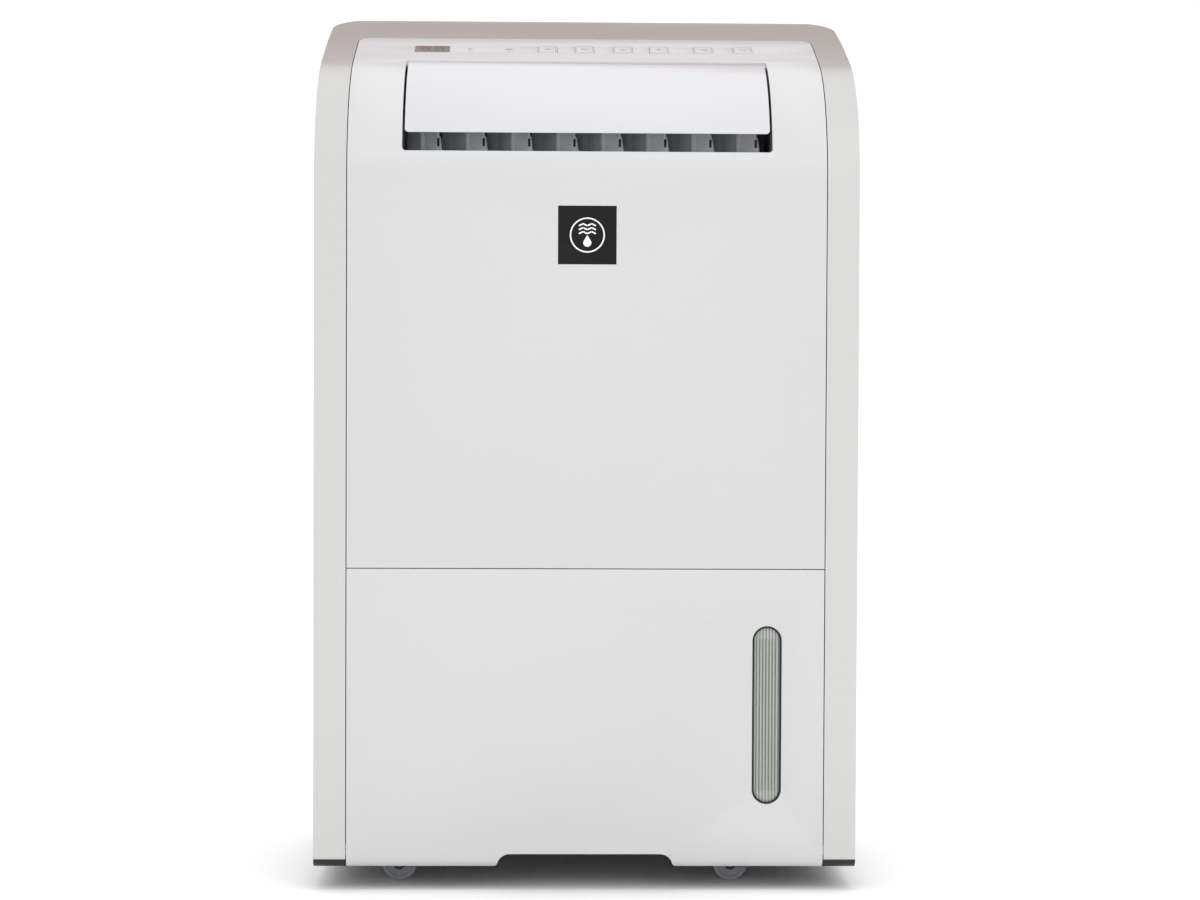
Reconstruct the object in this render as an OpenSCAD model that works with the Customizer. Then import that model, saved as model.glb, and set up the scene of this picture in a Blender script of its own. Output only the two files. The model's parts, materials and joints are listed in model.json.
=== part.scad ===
// Compressor dehumidifier with a pull-out water tank, a swinging outlet flap and swivel casters.
// Millimetres. +Z is up, the front faces -Y, and the origin is on the floor under the middle of the body.

/* [Cabinet] */
// Width over the silver frame
body_w = 360; // [340:4:440]
// Depth from the front panel to the rear wall
body_d = 225; // [215:1:270]
// Height from the floor to the crown
body_h = 600; // [560:5:720]
// Wall of the outer shells
wall = 2.5; // [2:0.1:3]
// Height of the skirt above the floor
skirt_z = 15; // [12:0.5:18]
// Radius of the brow between the front and the sloping top
brow_r = 90; // [70:1:100]
// Slope of the top where the brow ends, in degrees
brow_slope = 22; // [18:1:26]
// Radius of the long sloping top
slope_r = 1200; // [1000:10:1500]
// Radius of the rear top edge
crown_r = 24; // [14:1:30]
// Plan radius of the two rear corners
corner_r = 31; // [20:1:40]
// Width of the rounding along the side edges of the top
edge_w = 27; // [20:1:30]
// Height of that rounding
edge_h = 12; // [8:0.5:16]
// Radius under the bottom front edge
skirt_r = 8; // [4:0.5:9]
// Gap between neighbouring outer panels
panel_gap = 0.6; // [0.4:0.1:1]

/* [Silver frame] */
// Width of the frame's band on each side of the front
band_w = 21.5; // [15:0.5:25]
// Depth of the frame's side walls, measured in from the front and the top
band_depth = 34; // [25:1:45]
// Depth of the frame's top bar, from the rear wall forwards
top_bar_d = 100; // [90:1:110]

/* [Outlet] */
// Half of the outlet's width
outlet_half = 122.4; // [100:0.2:130]
// Height of the outlet's lower lip above the foot of the brow
lip_rise = 20.3; // [16:0.1:26]
// Height of the slot that the closed flap leaves open
slot_h = 12.5; // [8:0.5:16]
// Distance of the flap's hinge behind the front face
flap_hinge_d = 60; // [56:1:66]
// Radius of the flap's hinge barrel
flap_barrel_r = 2.6; // [2.2:0.1:3]
// Gap at each side of the flap
flap_side_gap = 1.7; // [1:0.1:3]
// Number of vanes in the outlet
vane_n = 8; // [8:8]
// Distance from the outlet's left end to the first vane's pivot
vane_left = 12.45; // [12.4:0.05:16]
// Distance from the last vane's pivot to the outlet's right end
vane_right = 20.25; // [19:0.05:24]
// Angle at which the vanes stand, in degrees from straight ahead
vane_turn = 48; // [40:1:50]

/* [Controls] */
// Width of a push button
button_w = 13; // [10:0.5:16]
// Length of a push button down the slope
button_l = 19; // [14:0.5:22]
// Width of the display window
display_w = 24; // [20:0.5:30]
// Length of the display window down the slope
display_l = 18.5; // [16:0.5:24]

/* [Tank] */
// Height of the tank's front panel
tank_panel_h = 199; // [190:1:240]
// Width of the water tank
tank_w = 180; // [150:2:186]
// Height of the water tank up to its rim
tank_h = 146; // [120:2:150]
// Wall of the water tank
tank_wall = 2.2; // [1.8:0.1:3]
// Width of the level window
window_w = 19.5; // [14:0.5:24]
// Height of the level window
window_h = 118.5; // [90:0.5:130]
// Distance of the level window's middle from the panel's edge
window_inset = 37.8; // [30:0.2:50]
// Height of the level window's middle above the skirt
window_rise = 102; // [80:1:110]

/* [Casters] */
// Radius of a caster wheel
wheel_r = 11.5; // [10:0.5:12]
// Trail of a caster wheel behind its swivel
caster_trail = 12.8; // [10:0.2:14]
// Distance of the swivels from the body's middle
caster_x = 112; // [90:1:120]
// Radius of a caster's stem
stem_r = 4; // [3:0.1:5]

/* [Rear ports] */
// Outer radius of the drain spout, for a hose of 15 mm bore
spout_r = 7.5; // [6:0.1:9]
// Radius of the mains cord's hole
cord_hole_r = 4; // [3:0.1:5]

/* [Hidden] */
$fn = 48;
RUN = 0.06;        // radial clearance of a pin in its bore
FAR = 1000;        // beyond the body in any direction

front = -body_d / 2;
rear = body_d / 2;
half_w = body_w / 2;

// Side profile: four tangent arcs. The distance behind the front is d, and z is the height.
slope_c_d = brow_r + (slope_r - brow_r) * sin(brow_slope);
crown_slope = asin((slope_c_d - body_d + crown_r) / (slope_r - crown_r));
slope_c_z = body_h - crown_r - (slope_r - crown_r) * cos(crown_slope);
brow_z = slope_c_z + (slope_r - brow_r) * cos(brow_slope);
function arc(c, r, a0, a1, n) =
    [for (i = [0:n]) let (a = a0 + (a1 - a0) * i / n) [c[0] + r * cos(a), c[1] + r * sin(a)]];
function profile(t) = concat(
    arc([skirt_r, skirt_z + skirt_r], skirt_r - min(t, skirt_r - 0.5), 270, 180, 5),
    arc([brow_r, brow_z], brow_r - t, 180, 90 + brow_slope, 15),
    arc([slope_c_d, slope_c_z], slope_r - t, 90 + brow_slope, 90 + crown_slope, 12),
    arc([body_d - crown_r, body_h - crown_r], crown_r - min(t, crown_r - 0.5), 90 + crown_slope, 0, 12),
    [[body_d - t, skirt_z + min(t, skirt_r - 0.5)]]);
// Angle and height of the outer surface on the long slope, at distance d behind the front
function slope_at(d) = asin((slope_c_d - d) / slope_r);
function top_z(d) = slope_c_z + slope_r * cos(slope_at(d));

// Front and outlet
panel_half = half_w - band_w - panel_gap / 2;
window_x = panel_half - window_inset;
seam_z = skirt_z + tank_panel_h;
panel_end_d = body_d - top_bar_d;
panel_corner_r = 9;
edge_over = 0.4;    // the rounded outline passes this far outside the flat faces
lip_z = brow_z + lip_rise;
flap_z = lip_z + slot_h;
flap_half = outlet_half - flap_side_gap;
hinge_drop = flap_barrel_r + 0.2;
hinge_d = flap_hinge_d + hinge_drop * sin(slope_at(flap_hinge_d));
hinge_z = top_z(flap_hinge_d) - hinge_drop * cos(slope_at(flap_hinge_d));
hinge_gap = 0.5;
pin_r = 1.8;
duct_wall = 2;
outlet_corner_r = 2.5;
badge_half = 19.2;
badge_z = lip_z - 55.2;

// Vanes
vane_h = 30;
vane_front = 18;
vane_back = 14;
vane_t = 1.4;
vane_d = 36;
vane_z = lip_z - 0.4;
vane_x0 = vane_left - outlet_half;
vane_pitch = (2 * outlet_half - vane_left - vane_right) / (vane_n - 1);
vane_pin_r = 1.5;
link_reach = 14;
link_z = vane_z + 14;
link_pin_r = 0.9;
shelf_t = 2.5;
shelf_z = vane_z - shelf_t - 0.4;
shelf_d = brow_r - sqrt(pow(brow_r - wall, 2) - pow(vane_z - brow_z, 2)) + 0.5;
vane_bar_z = vane_z + vane_h + 0.4;
group_n = vane_n / 2;
function vane_x(i) = vane_x0 + i * vane_pitch;

// Controls
control_d = (flap_hinge_d + panel_end_d) / 2 + 1;
button_xs = [-26.4, -0.8, 25.8, 50.7, 81.6, 108.8];
display_x = -106;
button_proud = 0.4;
button_gap = 0.25;

// Base and lower bay
base_z = skirt_z + 14;
base_t = 3;
base_top = base_z + base_t;
base_wall_h = 16;
deck_z = seam_z + 3;
deck_t = 3;
inner_half = panel_half - 3;
shell_t = wall + 1;
seam_x = half_w - corner_r - 1;
inner_front = 9;
inner_rear = body_d - wall - 1.5;
tank_x1 = inner_half - 3;
tank_x0 = tank_x1 - tank_w;
tank_z = base_top + 1;
tank_front_d = 4;
tank_rear_d = body_d - 56;
tank_rim_z = tank_z + tank_h;
partition_x = tank_x0 - 5;
notch_half = 52;
notch_h = 9.3;
tank_mid_x = (tank_x0 + tank_x1) / 2;
lid_gap = 0.3;
handle_d = 70;
handle_reach = 24;
handle_bar_r = 3.5;
handle_pin_z = tank_rim_z + 6;
lug_t = 6;
float_d = 88;
float_z = tank_rim_z - 26;

// Refrigeration and fan
coil_half = 118;
coil_z0 = deck_z + deck_t + 22;
coil_z1 = brow_z - 14;
coil_t = 28;
fin_n = 28;
tube_n = 5;
condenser_d = 118;
evaporator_d = condenser_d + coil_t + 4;
fan_z = (coil_z0 + coil_z1) / 2;
scroll_gap = 12;
fan_r = min((coil_z1 - coil_z0) / 2, coil_half - 11) - scroll_gap - 8.7;
fan_len = 46;
scroll_r = fan_r + scroll_gap;
scroll_d0 = 40;
scroll_d1 = scroll_d0 + fan_len + 12;
shaft_r = 3;
comp_x = (partition_x - half_w + wall) / 2;
comp_r = min(52, (partition_x + half_w) / 2 - 10);
comp_d = 98;
pipe_x = -coil_half - 18;
pipe_d = comp_d + comp_r + 20;
mount_h = 14.8;
drip_d = 146;
drip_r = 5.5;

// Rear
grille_half = seam_x - 26;
grille_z0 = coil_z0 - 8;
grille_z1 = brow_z + 20;
grille_pin_r = 1.5;
grille_pin_in = 2.7;
grille_t = 4;
grille_gap = 1.3;
slat_pitch = 9;
hepa_d0 = evaporator_d + coil_t + 5;
hepa_t = 16;
filter_t = 4;
filter_d0 = body_d - grille_t - filter_t - 0.4;
port_x = 96;
pocket_half = 22;
port_z = deck_z - pocket_half - wall - 4;
pocket_depth = 26;
spout_len = 18;
cord_x = -120;
cord_z = 75;
gland_r = 9;
gland_len = 14;
grip_d0 = 84;
grip_d1 = 172;
grip_z = brow_z + 10;
grip_h = 34;
grip_depth = 18;
screw_r = 3.5;

BUTTON_N = len(button_xs);
FOLD_N = 40;
CASTERS = [[-1, -1], [1, -1], [-1, 1], [1, 1]];
caster_y = rear - 43.5;
axle_r = 2;
tread_w = 11;
screw_x = half_w - corner_r - 7;
screw_zs = [48, 130, 300, body_h - 90];

// ---------- helpers ----------
// A side outline of [distance behind the front, height] points, extruded from x0 to x1
module side_slab(points, x0, x1)
    translate([x0, front, 0]) rotate([90, 0, 90]) linear_extrude(x1 - x0) polygon(points);
// A box given by its limits in x, in distance behind the front, and in height
module box(x0, x1, d0, d1, z0, z1)
    translate([x0, front + d0, z0]) cube([x1 - x0, d1 - d0, z1 - z0]);
module rod_x(x0, x1, d, z, r)
    translate([x0, front + d, z]) rotate([0, 90, 0]) cylinder(r = r, h = x1 - x0);
module rod_y(x, d0, d1, z, r)
    translate([x, front + d0, z]) rotate([-90, 0, 0]) cylinder(r = r, h = d1 - d0);
module rod_z(x, d, z0, z1, r)
    translate([x, front + d, z0]) cylinder(r = r, h = z1 - z0);
// Plan of the body, t inside its outline, with two rounded rear corners
function plan_line(t) = concat([[-half_w + t, front - 20], [half_w - t, front - 20]],
    arc([half_w - corner_r, rear - corner_r], corner_r - t, 0, 90, 8),
    arc([-half_w + corner_r, rear - corner_r], corner_r - t, 90, 180, 8));
module plan(t)
    translate([0, 0, -FAR / 2]) linear_extrude(2 * FAR) polygon(plan_line(t));
// Front outline of the body, t inside it, with its rounded upper corners
function edge_arc(t, x, a0) = [for (i = [0:8]) let (a = a0 - 90 * i / 8)
    [x + (edge_w - t) * cos(a), body_h + edge_over - edge_h + (edge_h - t) * sin(a)]];
function front_line(t) = concat([[-FAR, -5], [-FAR, body_h + edge_over - edge_h]],
    edge_arc(t, edge_w - half_w - edge_over, 180), edge_arc(t, half_w + edge_over - edge_w, 90),
    [[FAR, body_h + edge_over - edge_h], [FAR, -5]]);
module front_outline(t)
    translate([0, FAR, 0]) rotate([90, 0, 0]) linear_extrude(2 * FAR) polygon(front_line(t));
// A level plate that fills the body's plan, t inside its outline
module plate(t, d0, z0, z1)
    intersection() { box(-FAR, FAR, d0, FAR, z0, z1); plan(t); }
module envelope(t)
    intersection() {
        side_slab(profile(t), -half_w - 5, half_w + 5);
        plan(t);
        front_outline(t);
    }
module skin()
    difference() { envelope(0); envelope(wall); }
// Places its children on the sloping top with their z axis along the outward normal
module on_slope(x, d)
    translate([x, front + d, top_z(d)]) rotate([slope_at(d), 0, 0]) children();
module slope_box(w, l, z0, z1)
    translate([-w / 2, -l / 2, z0]) cube([w, l, z1 - z0]);
// A front outline with rounded lower corners, cut or kept from d0 to d1
module front_window(half, z0, r, d0, d1)
    translate([0, front + d1, 0]) rotate([90, 0, 0]) linear_extrude(d1 - d0) {
        translate([-half, z0 + r]) square([2 * half, FAR]);
        translate([-half + r, z0]) square([2 * (half - r), r + 0.01]);
        for (s = [-1, 1]) translate([s * (half - r), z0 + r]) circle(r);
    }
module stadium(w, h) {
    for (s = [-1, 1]) translate([0, s * (h - w) / 2]) circle(w / 2);
    square([w, h - w], center = true);
}

// ---------- cabinet ----------
// Outline of what lies behind the silver frame, t in from the front and the top
function frame_line(t) = concat([[t, -5]], arc([brow_r, brow_z], brow_r - t, 180, 90 + brow_slope, 15),
    arc([slope_c_d, slope_c_z], slope_r - t, 90 + brow_slope, 90 + crown_slope, 12),
    [[body_d + 5, slope_c_z + (slope_r - t) * cos(crown_slope)], [body_d + 5, -5]]);
// Plan of the front panel, grown all round
module panel_plan(grow) {
    half = panel_half + grow;
    end = front + panel_end_d + grow;
    r = panel_corner_r + grow;
    linear_extrude(FAR) polygon(concat([[-half, front - 1], [half, front - 1]],
        arc([half - r, end - r], r, 0, 90, 6), arc([r - half, end - r], r, 90, 180, 6)));
}
module silver_frame() color("silver")
    difference() {
        skin();
        side_slab(frame_line(band_depth), -half_w - 6, half_w + 6);
        panel_plan(panel_gap);
    }
module front_panel() color("white") {
    control_hole = button_gap * 2;
    foot_z = seam_z + panel_gap / 2;
    badge_hole = badge_half + 0.15;
    difference() {
        intersection() {
            union() {
                skin();
                box(-panel_half, panel_half, wall - 1, inner_front - 2, foot_z, foot_z + wall);
            }
            translate([0, 0, foot_z]) panel_plan(0);
        }
        front_window(outlet_half, lip_z, outlet_corner_r, -1, hinge_d + flap_barrel_r + hinge_gap);
        rod_x(-outlet_half - 3.2, outlet_half + 3.2, hinge_d, hinge_z, pin_r + 0.4);
        for (x = button_xs) on_slope(x, control_d)
            slope_box(button_w + control_hole, button_l + control_hole, -8, 4);
        on_slope(display_x, control_d) slope_box(display_w + 0.2, display_l + 0.2, -8, 4);
        box(-badge_hole, badge_hole, -1, 1, badge_z - badge_hole, badge_z + badge_hole);
    }
}
module grip_pocket(side, grow)
    box(side > 0 ? half_w - grip_depth - grow : -half_w - 1,
        side > 0 ? half_w + 1 : -half_w + grip_depth + grow,
        grip_d0 - grow, grip_d1 + grow, grip_z - grow, grip_z + grip_h + grow);
// What the silver frame leaves of the shell, without its floor
module rear_shell()
    difference() {
        intersection() { skin(); side_slab(frame_line(band_depth + panel_gap), -half_w - 6, half_w + 6); }
        box(-half_w + shell_t, half_w - shell_t, -1, body_d - shell_t, 0, skirt_z + wall + 2);
    }
module side_panel(side) color("white") {
    x0 = side > 0 ? seam_x + panel_gap / 2 : -half_w - 1;
    x1 = side > 0 ? half_w + 1 : -seam_x - panel_gap / 2;
    difference() {
        union() {
            intersection() { rear_shell(); box(x0, x1, -1, FAR, 0, FAR); }
            intersection() { grip_pocket(side, wall); plan(wall / 2); }
        }
        grip_pocket(side, 0);
    }
}
module drain_pocket(grow, d0, d1)
    box(port_x - pocket_half - grow, port_x + pocket_half + grow, d0, d1,
        port_z - pocket_half - grow, port_z + pocket_half + grow);
module rear_panel() color("white") {
    edge = seam_x - panel_gap / 2;
    boss = 6;
    difference() {
        union() {
            intersection() {
                rear_shell();
                box(-edge, edge, body_d - 10, FAR, 0, FAR);
            }
            for (x = [-grille_half - boss, grille_half])
                box(x, x + boss, body_d - 7, body_d - 0.5, grille_z0 - 3, grille_z0 + 9);
            rod_y(cord_x, body_d - gland_len, body_d - 0.5, cord_z, gland_r + wall);
        }
        box(-grille_half, grille_half, body_d - 8, body_d + 1,
            grille_z0 - grille_gap, grille_z1 + grille_gap);
        rod_x(-grille_half - 4, grille_half + 4, body_d - grille_pin_in,
            grille_z0 + grille_pin_in, grille_pin_r + RUN);
        drain_pocket(wall + 0.3, body_d - 10, body_d + 1);
        rod_y(cord_x, body_d - gland_len - 1, body_d + 1, cord_z, gland_r);
        for (x = [-screw_x, screw_x], z = screw_zs)
            rod_y(x, body_d - wall - 2, body_d + 1, z, screw_r + RUN);
    }
}
module at_caster(c, z)
    translate([c[0] * caster_x, c[1] * caster_y, z]) children();
module base_pan() color("dimgray")
    difference() {
        union() {
            plate(shell_t, inner_front, base_z, base_top);
            difference() {
                plate(shell_t, inner_front, base_z, base_z + 8);
                plate(shell_t + 3, inner_front + 3, base_z - 1, FAR);
            }
            for (c = CASTERS) at_caster(c, base_z - 0.5) cylinder(r = stem_r + 6, h = base_t);
        }
        box(partition_x, inner_half, 0, inner_front + 4, base_top - 0.3, FAR);
        for (c = CASTERS) at_caster(c, base_z - 1) cylinder(r = stem_r + RUN, h = 20);
    }
module tank_bay() color("gainsboro") {
    box(partition_x - 2, partition_x, inner_front + 4, tank_rear_d + 6, base_top, deck_z);
    box(partition_x - 2, inner_half, tank_rear_d + 4, tank_rear_d + 6, base_top, deck_z);
    box(inner_half - 2, inner_half, inner_front + 4, tank_rear_d + 6, base_top, deck_z);
    box(-inner_half, partition_x, inner_front + 4, inner_front + 6, base_top, deck_z);
}
module mid_deck() color("gainsboro")
    difference() {
        plate(shell_t, inner_front, deck_z, deck_z + deck_t);
        rod_z(tank_mid_x, drip_d, 0, FAR, drip_r + 3);
        rod_z(pipe_x, pipe_d, 0, FAR, 8);
    }
// A chute from the fan up to the outlet. The vanes stand between its shelf and its bar.
module outlet_duct() color("dimgray") {
    back = hinge_d + flap_barrel_r + 3;
    foot = coil_z1 - 4;
    side = outlet_half + 0.2;
    throat_z = vane_bar_z + 2;
    roof_z = hinge_z - flap_barrel_r - 2;
    front_wall = [[shelf_d, shelf_z], [shelf_d, shelf_z + shelf_t], [vane_d + 12, shelf_z + shelf_t],
        [vane_d + 12, foot], [vane_d + 12 - duct_wall, foot], [vane_d + 12 - duct_wall, shelf_z]];
    back_wall = [[scroll_d1 + 1, foot], [scroll_d1 + 1 + duct_wall, foot], [back + duct_wall, throat_z],
        [back + duct_wall, roof_z], [back, roof_z], [back, throat_z]];
    cheek = concat([[shelf_d, shelf_z]], [for (q = profile(wall + 0.5)) if (q[1] > vane_z && q[0] < back) q],
        [[back + duct_wall, roof_z], [back + duct_wall, throat_z], [scroll_d1 + 1 + duct_wall, foot],
        [vane_d + 12 - duct_wall, foot], [vane_d + 12 - duct_wall, shelf_z]]);
    difference() {
        union() {
            side_slab(front_wall, -side - 1, side + 1);
            side_slab(back_wall, -side - 1, side + 1);
            side_slab(cheek, side, side + 2.5);
            side_slab(cheek, -side - 2.5, -side);
            box(-side - 1, side + 1, vane_d - 3, vane_d + 3, vane_bar_z, vane_bar_z + 2);
        }
        rod_x(-side - 6, side + 6, hinge_d, hinge_z, pin_r + RUN);
        for (i = [0:vane_n - 1]) rod_z(vane_x(i), vane_d, shelf_z - 1, vane_bar_z + 3, vane_pin_r + RUN);
    }
}
module badge() color("black")
    box(-badge_half, badge_half, 0.1, 0.95, badge_z - badge_half, badge_z + badge_half);

// ---------- controls ----------
module display_window() color("gray")
    on_slope(display_x, control_d) slope_box(display_w, display_l, -wall - 2, 0);
module control_board() color("darkgreen")
    on_slope(0, control_d) {
        slope_box(250, 34, -15, -13.4);
        for (x = button_xs) translate([x, 0, 0]) slope_box(6, 6, -13.5, -9.5);
        translate([display_x, 0, 0]) slope_box(display_w - 2, display_l - 2, -13.5, -wall - 2.2);
    }
module button(i) color("white")
    on_slope(button_xs[i - 1], control_d) {
        slope_box(button_w, button_l, -wall - 3, button_proud);
        slope_box(button_w + 4, button_l + 3, -wall - 2, -wall - 0.6);
        slope_box(4, 4, -8.4, -wall - 1);
    }
module flap() color("white") {
    intersection() {
        skin();
        front_window(flap_half, flap_z, outlet_corner_r, -1, flap_hinge_d);
    }
    rod_x(-flap_half, flap_half, hinge_d, hinge_z, flap_barrel_r);
    rod_x(-outlet_half - 2.4, outlet_half + 2.4, hinge_d, hinge_z, pin_r);
}
module louver_motor() color("silver") {
    x0 = outlet_half + 4;
    rod_x(x0, x0 + 17, hinge_d + 6, hinge_z - 22, 13);
    box(x0 + 6, x0 + 12, hinge_d - 12, hinge_d + 24, hinge_z - 26, hinge_z - 18);
}
module vane(i) color("dimgray")
    translate([vane_x(i - 1), front + vane_d, vane_z]) rotate([0, 0, vane_turn]) {
        translate([vane_t / 2, 0, 0]) rotate([90, 0, -90]) linear_extrude(vane_t)
            polygon([[vane_front, 0], [vane_front - 2, 11], [3, vane_h - 1.5],
                [-vane_back, vane_h - 1.5], [-vane_back, 0]]);
        translate([0, 0, -2]) cylinder(r = vane_pin_r, h = vane_h + 3.4);
        translate([0, 0, 0]) cylinder(r = vane_pin_r + 0.8, h = vane_h);
        translate([0, -link_reach, link_z - vane_z - 3]) cylinder(r = link_pin_r, h = 9.5);
    }
module at_link(i, z)
    translate([vane_x(i) + link_reach * sin(vane_turn), front + vane_d - link_reach * cos(vane_turn), z])
        children();
module vane_link(first) color("black") {
    last = first + group_n - 1;
    difference() {
        union() for (i = [first:last]) at_link(i, link_z + 4.5) {
            cylinder(r = 2.4, h = 1.6);
            if (i < last) translate([0, -1, 0]) cube([vane_pitch, 2, 1.6]);
        }
        for (i = [first:last]) at_link(i, link_z) cylinder(r = link_pin_r + RUN, h = 8);
    }
}

// ---------- tank ----------
module tank_body() color("lightblue")
    difference() {
        union() {
            difference() {
                box(tank_x0, tank_x1, tank_front_d, tank_rear_d, tank_z, tank_rim_z);
                box(tank_x0 + tank_wall, tank_x1 - tank_wall,
                    tank_front_d + tank_wall, tank_rear_d - tank_wall, tank_z + tank_wall, tank_rim_z + 1);
            }
            for (x = [tank_x0, tank_x1 - lug_t])
                box(x, x + lug_t, handle_d - 7, handle_d + 7, tank_rim_z - 12, handle_pin_z + 5);
            box(tank_x0 + tank_wall - 1, tank_x0 + 10, float_d - 5, float_d + 5, float_z - 6, float_z + 6);
        }
        rod_x(tank_x0 - 1, tank_x1 + 1, handle_d, handle_pin_z, 2 + RUN);
        rod_x(tank_x0 + tank_wall + 0.6, tank_x0 + 11, float_d, float_z, 3 + RUN);
    }
module tank_front() color("white")
    difference() {
        intersection() {
            union() {
                skin();
                difference() {
                    box(-panel_half, panel_half, 0.5, inner_front - 2, skirt_z + 1, seam_z - panel_gap / 2);
                    box(-panel_half + 2, panel_half - 2, -1, inner_front,
                        skirt_z, seam_z - panel_gap / 2 - 2);
                }
            }
            box(-panel_half, panel_half, -1, inner_front - 2, 0, seam_z - panel_gap / 2);
            side_slab(profile(0), -half_w, half_w);
        }
        box(tank_x0 - 1, tank_x1 + 1, tank_front_d - 0.2, inner_front, tank_z - 1, tank_rim_z + 1);
        translate([window_x, front + inner_front, skirt_z + window_rise]) rotate([90, 0, 0])
            linear_extrude(inner_front + 2) stadium(window_w, window_h);
        finger_notch();
    }
// Finger notch in the middle of the skirt
module finger_notch()
    translate([0, front + 30, skirt_z]) rotate([90, 0, 0]) linear_extrude(40)
        polygon(concat([[-notch_half - 8, -5], [-notch_half - 8, 0]],
            arc([-notch_half + 2, 1], notch_h - 1, 170, 90, 6),
            arc([notch_half - 2, 1], notch_h - 1, 90, 10, 6),
            [[notch_half + 8, 0], [notch_half + 8, -5]]));
module tank_window() color("gray")
    translate([window_x, front + wall + 0.7, skirt_z + window_rise]) rotate([90, 0, 0]) {
        linear_extrude(1.4) stadium(window_w - 0.5, window_h - 0.5);
        for (i = [-3:3]) translate([i * 2.1 - 0.5, -window_h / 2 + 9, 1.3]) cube([1, window_h - 18, 0.9]);
    }
module tank_lid() color("white")
    difference() {
        box(tank_x0 + tank_wall + lid_gap, tank_x1 - tank_wall - lid_gap, tank_front_d + tank_wall + lid_gap,
            tank_rear_d - tank_wall - lid_gap, tank_rim_z - 5, tank_rim_z - 3);
        for (x = [tank_x0, tank_x1 - lug_t])
            box(x - 1, x + lug_t + 1, handle_d - 8, handle_d + 8, 0, FAR);
        rod_z(tank_mid_x, drip_d, 0, FAR, drip_r + 3.5);
    }
module tank_float() color("orange") {
    box(tank_x0 + 14, tank_x0 + 42, float_d + 8, float_d + 40, float_z - 9, float_z + 9);
    box(tank_x0 + 24, tank_x0 + 32, float_d, float_d + 10, float_z - 2.5, float_z + 2.5);
    rod_x(tank_x0 + tank_wall + 1, tank_x0 + 33, float_d, float_z, 3);
}
module tank_handle() color("gainsboro") {
    x0 = tank_x0 + lug_t + 1;
    x1 = tank_x1 - lug_t - 1;
    rod_x(x0, x1, handle_d + handle_reach, handle_pin_z, handle_bar_r);
    for (x = [x0, x1 - 5])
        box(x, x + 5, handle_d - 3, handle_d + handle_reach, handle_pin_z - 3, handle_pin_z + 3);
    rod_x(tank_x0 + 1, x0 + 1, handle_d, handle_pin_z, 2);
    rod_x(x1 - 1, tank_x1 - 1, handle_d, handle_pin_z, 2);
}

// ---------- refrigeration and fan ----------
module compressor() color("black") {
    z0 = base_top + mount_h + 0.2;
    z1 = deck_z - 16;
    translate([comp_x, front + comp_d, z0]) {
        cylinder(r = comp_r - 4, h = 6);
        translate([0, 0, 5]) cylinder(r = comp_r, h = z1 - z0 - 22);
        translate([0, 0, z1 - z0 - 18]) cylinder(r1 = comp_r, r2 = comp_r - 16, h = 12);
        for (a = [90, 210, 330]) rotate(a) translate([comp_r - 16, -8, 0]) cube([20, 16, 3]);
    }
    rod_z(comp_x, pipe_d, z0 + 20, z1 - 14, 17);
    box(comp_x - 4, comp_x + 4, comp_d + comp_r - 2, comp_d + comp_r + 5, z0 + 50, z0 + 64);
}
module compressor_mounts() color("black")
    for (a = [90, 210, 330])
        translate([comp_x, front + comp_d, base_top]) rotate(a) translate([comp_r - 2, 0, 0])
            difference() {
                cylinder(r = 7, h = mount_h);
                translate([0, 0, -1]) cylinder(r = 2.5, h = mount_h + 2);
            }
module refrigerant_pipes() color("peru") {
    z1 = deck_z - 16;
    rod_z(comp_x, pipe_d, z1 - 13, deck_z - 8, 4);
    rod_x(pipe_x - 2, comp_x, pipe_d, deck_z - 13, 3.5);
    rod_z(pipe_x, pipe_d, deck_z - 18, coil_z0 + 34, 4);
    rod_x(pipe_x, -coil_half - 5, pipe_d, coil_z0 + 28, 3.5);
}
module coil(d0) {
    plate_x = coil_half + 3;
    fin_pitch = (2 * coil_half - 1.1) / (fin_n - 1);
    for (i = [0:fin_n - 1])
        box(-coil_half + i * fin_pitch, -coil_half + i * fin_pitch + 1, d0, d0 + coil_t, coil_z0, coil_z1);
    for (k = [0:tube_n - 1])
        rod_x(-coil_half - 4, coil_half + 4, d0 + coil_t / 2,
            coil_z0 + (k + 0.5) * (coil_z1 - coil_z0) / tube_n, 4);
    for (x = [-plate_x - 1.5, plate_x]) box(x, x + 1.5, d0, d0 + coil_t, coil_z0, coil_z1);
}
module evaporator() color("lightsteelblue") coil(evaporator_d);
module condenser() color("lightsteelblue") coil(condenser_d);
module drain_pan() color("gainsboro") {
    d0 = condenser_d - 4;
    d1 = evaporator_d + coil_t + 4;
    pan_half = coil_half + 8;
    difference() {
        union() {
            box(-pan_half, pan_half, d0, d1, deck_z + deck_t, coil_z0 - 1);
            rod_z(tank_mid_x, drip_d, deck_z - 1, deck_z + deck_t + 4, drip_r + 2.5);
        }
        box(-pan_half + 2, pan_half - 2, d0 + 2, d1 - 2, deck_z + deck_t + 3, FAR);
        rod_z(tank_mid_x, drip_d, deck_z - 2, FAR, drip_r);
    }
}
module fan_scroll() color("gainsboro")
    difference() {
        union() {
            rod_y(0, scroll_d0, scroll_d1, fan_z, scroll_r);
            box(-66, 66, scroll_d0 + 10, scroll_d1, fan_z + 40, coil_z1 - 4.5);
        }
        rod_y(0, scroll_d0 + 2, scroll_d1 - 2, fan_z, scroll_r - 2);
        box(-64, 64, scroll_d0 + 12, scroll_d1 - 2, fan_z + 30, FAR);
        rod_y(0, scroll_d1 - 3, scroll_d1 + 1, fan_z, fan_r - 14);
        rod_y(0, scroll_d0 - 1, scroll_d0 + 3, fan_z, 8);
    }
module fan_motor() color("silver")
    difference() {
        rod_y(0, inner_front + 4, scroll_d0 - 0.5, fan_z, 38);
        rod_y(0, inner_front + 10, scroll_d0, fan_z, shaft_r + RUN);
    }
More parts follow.
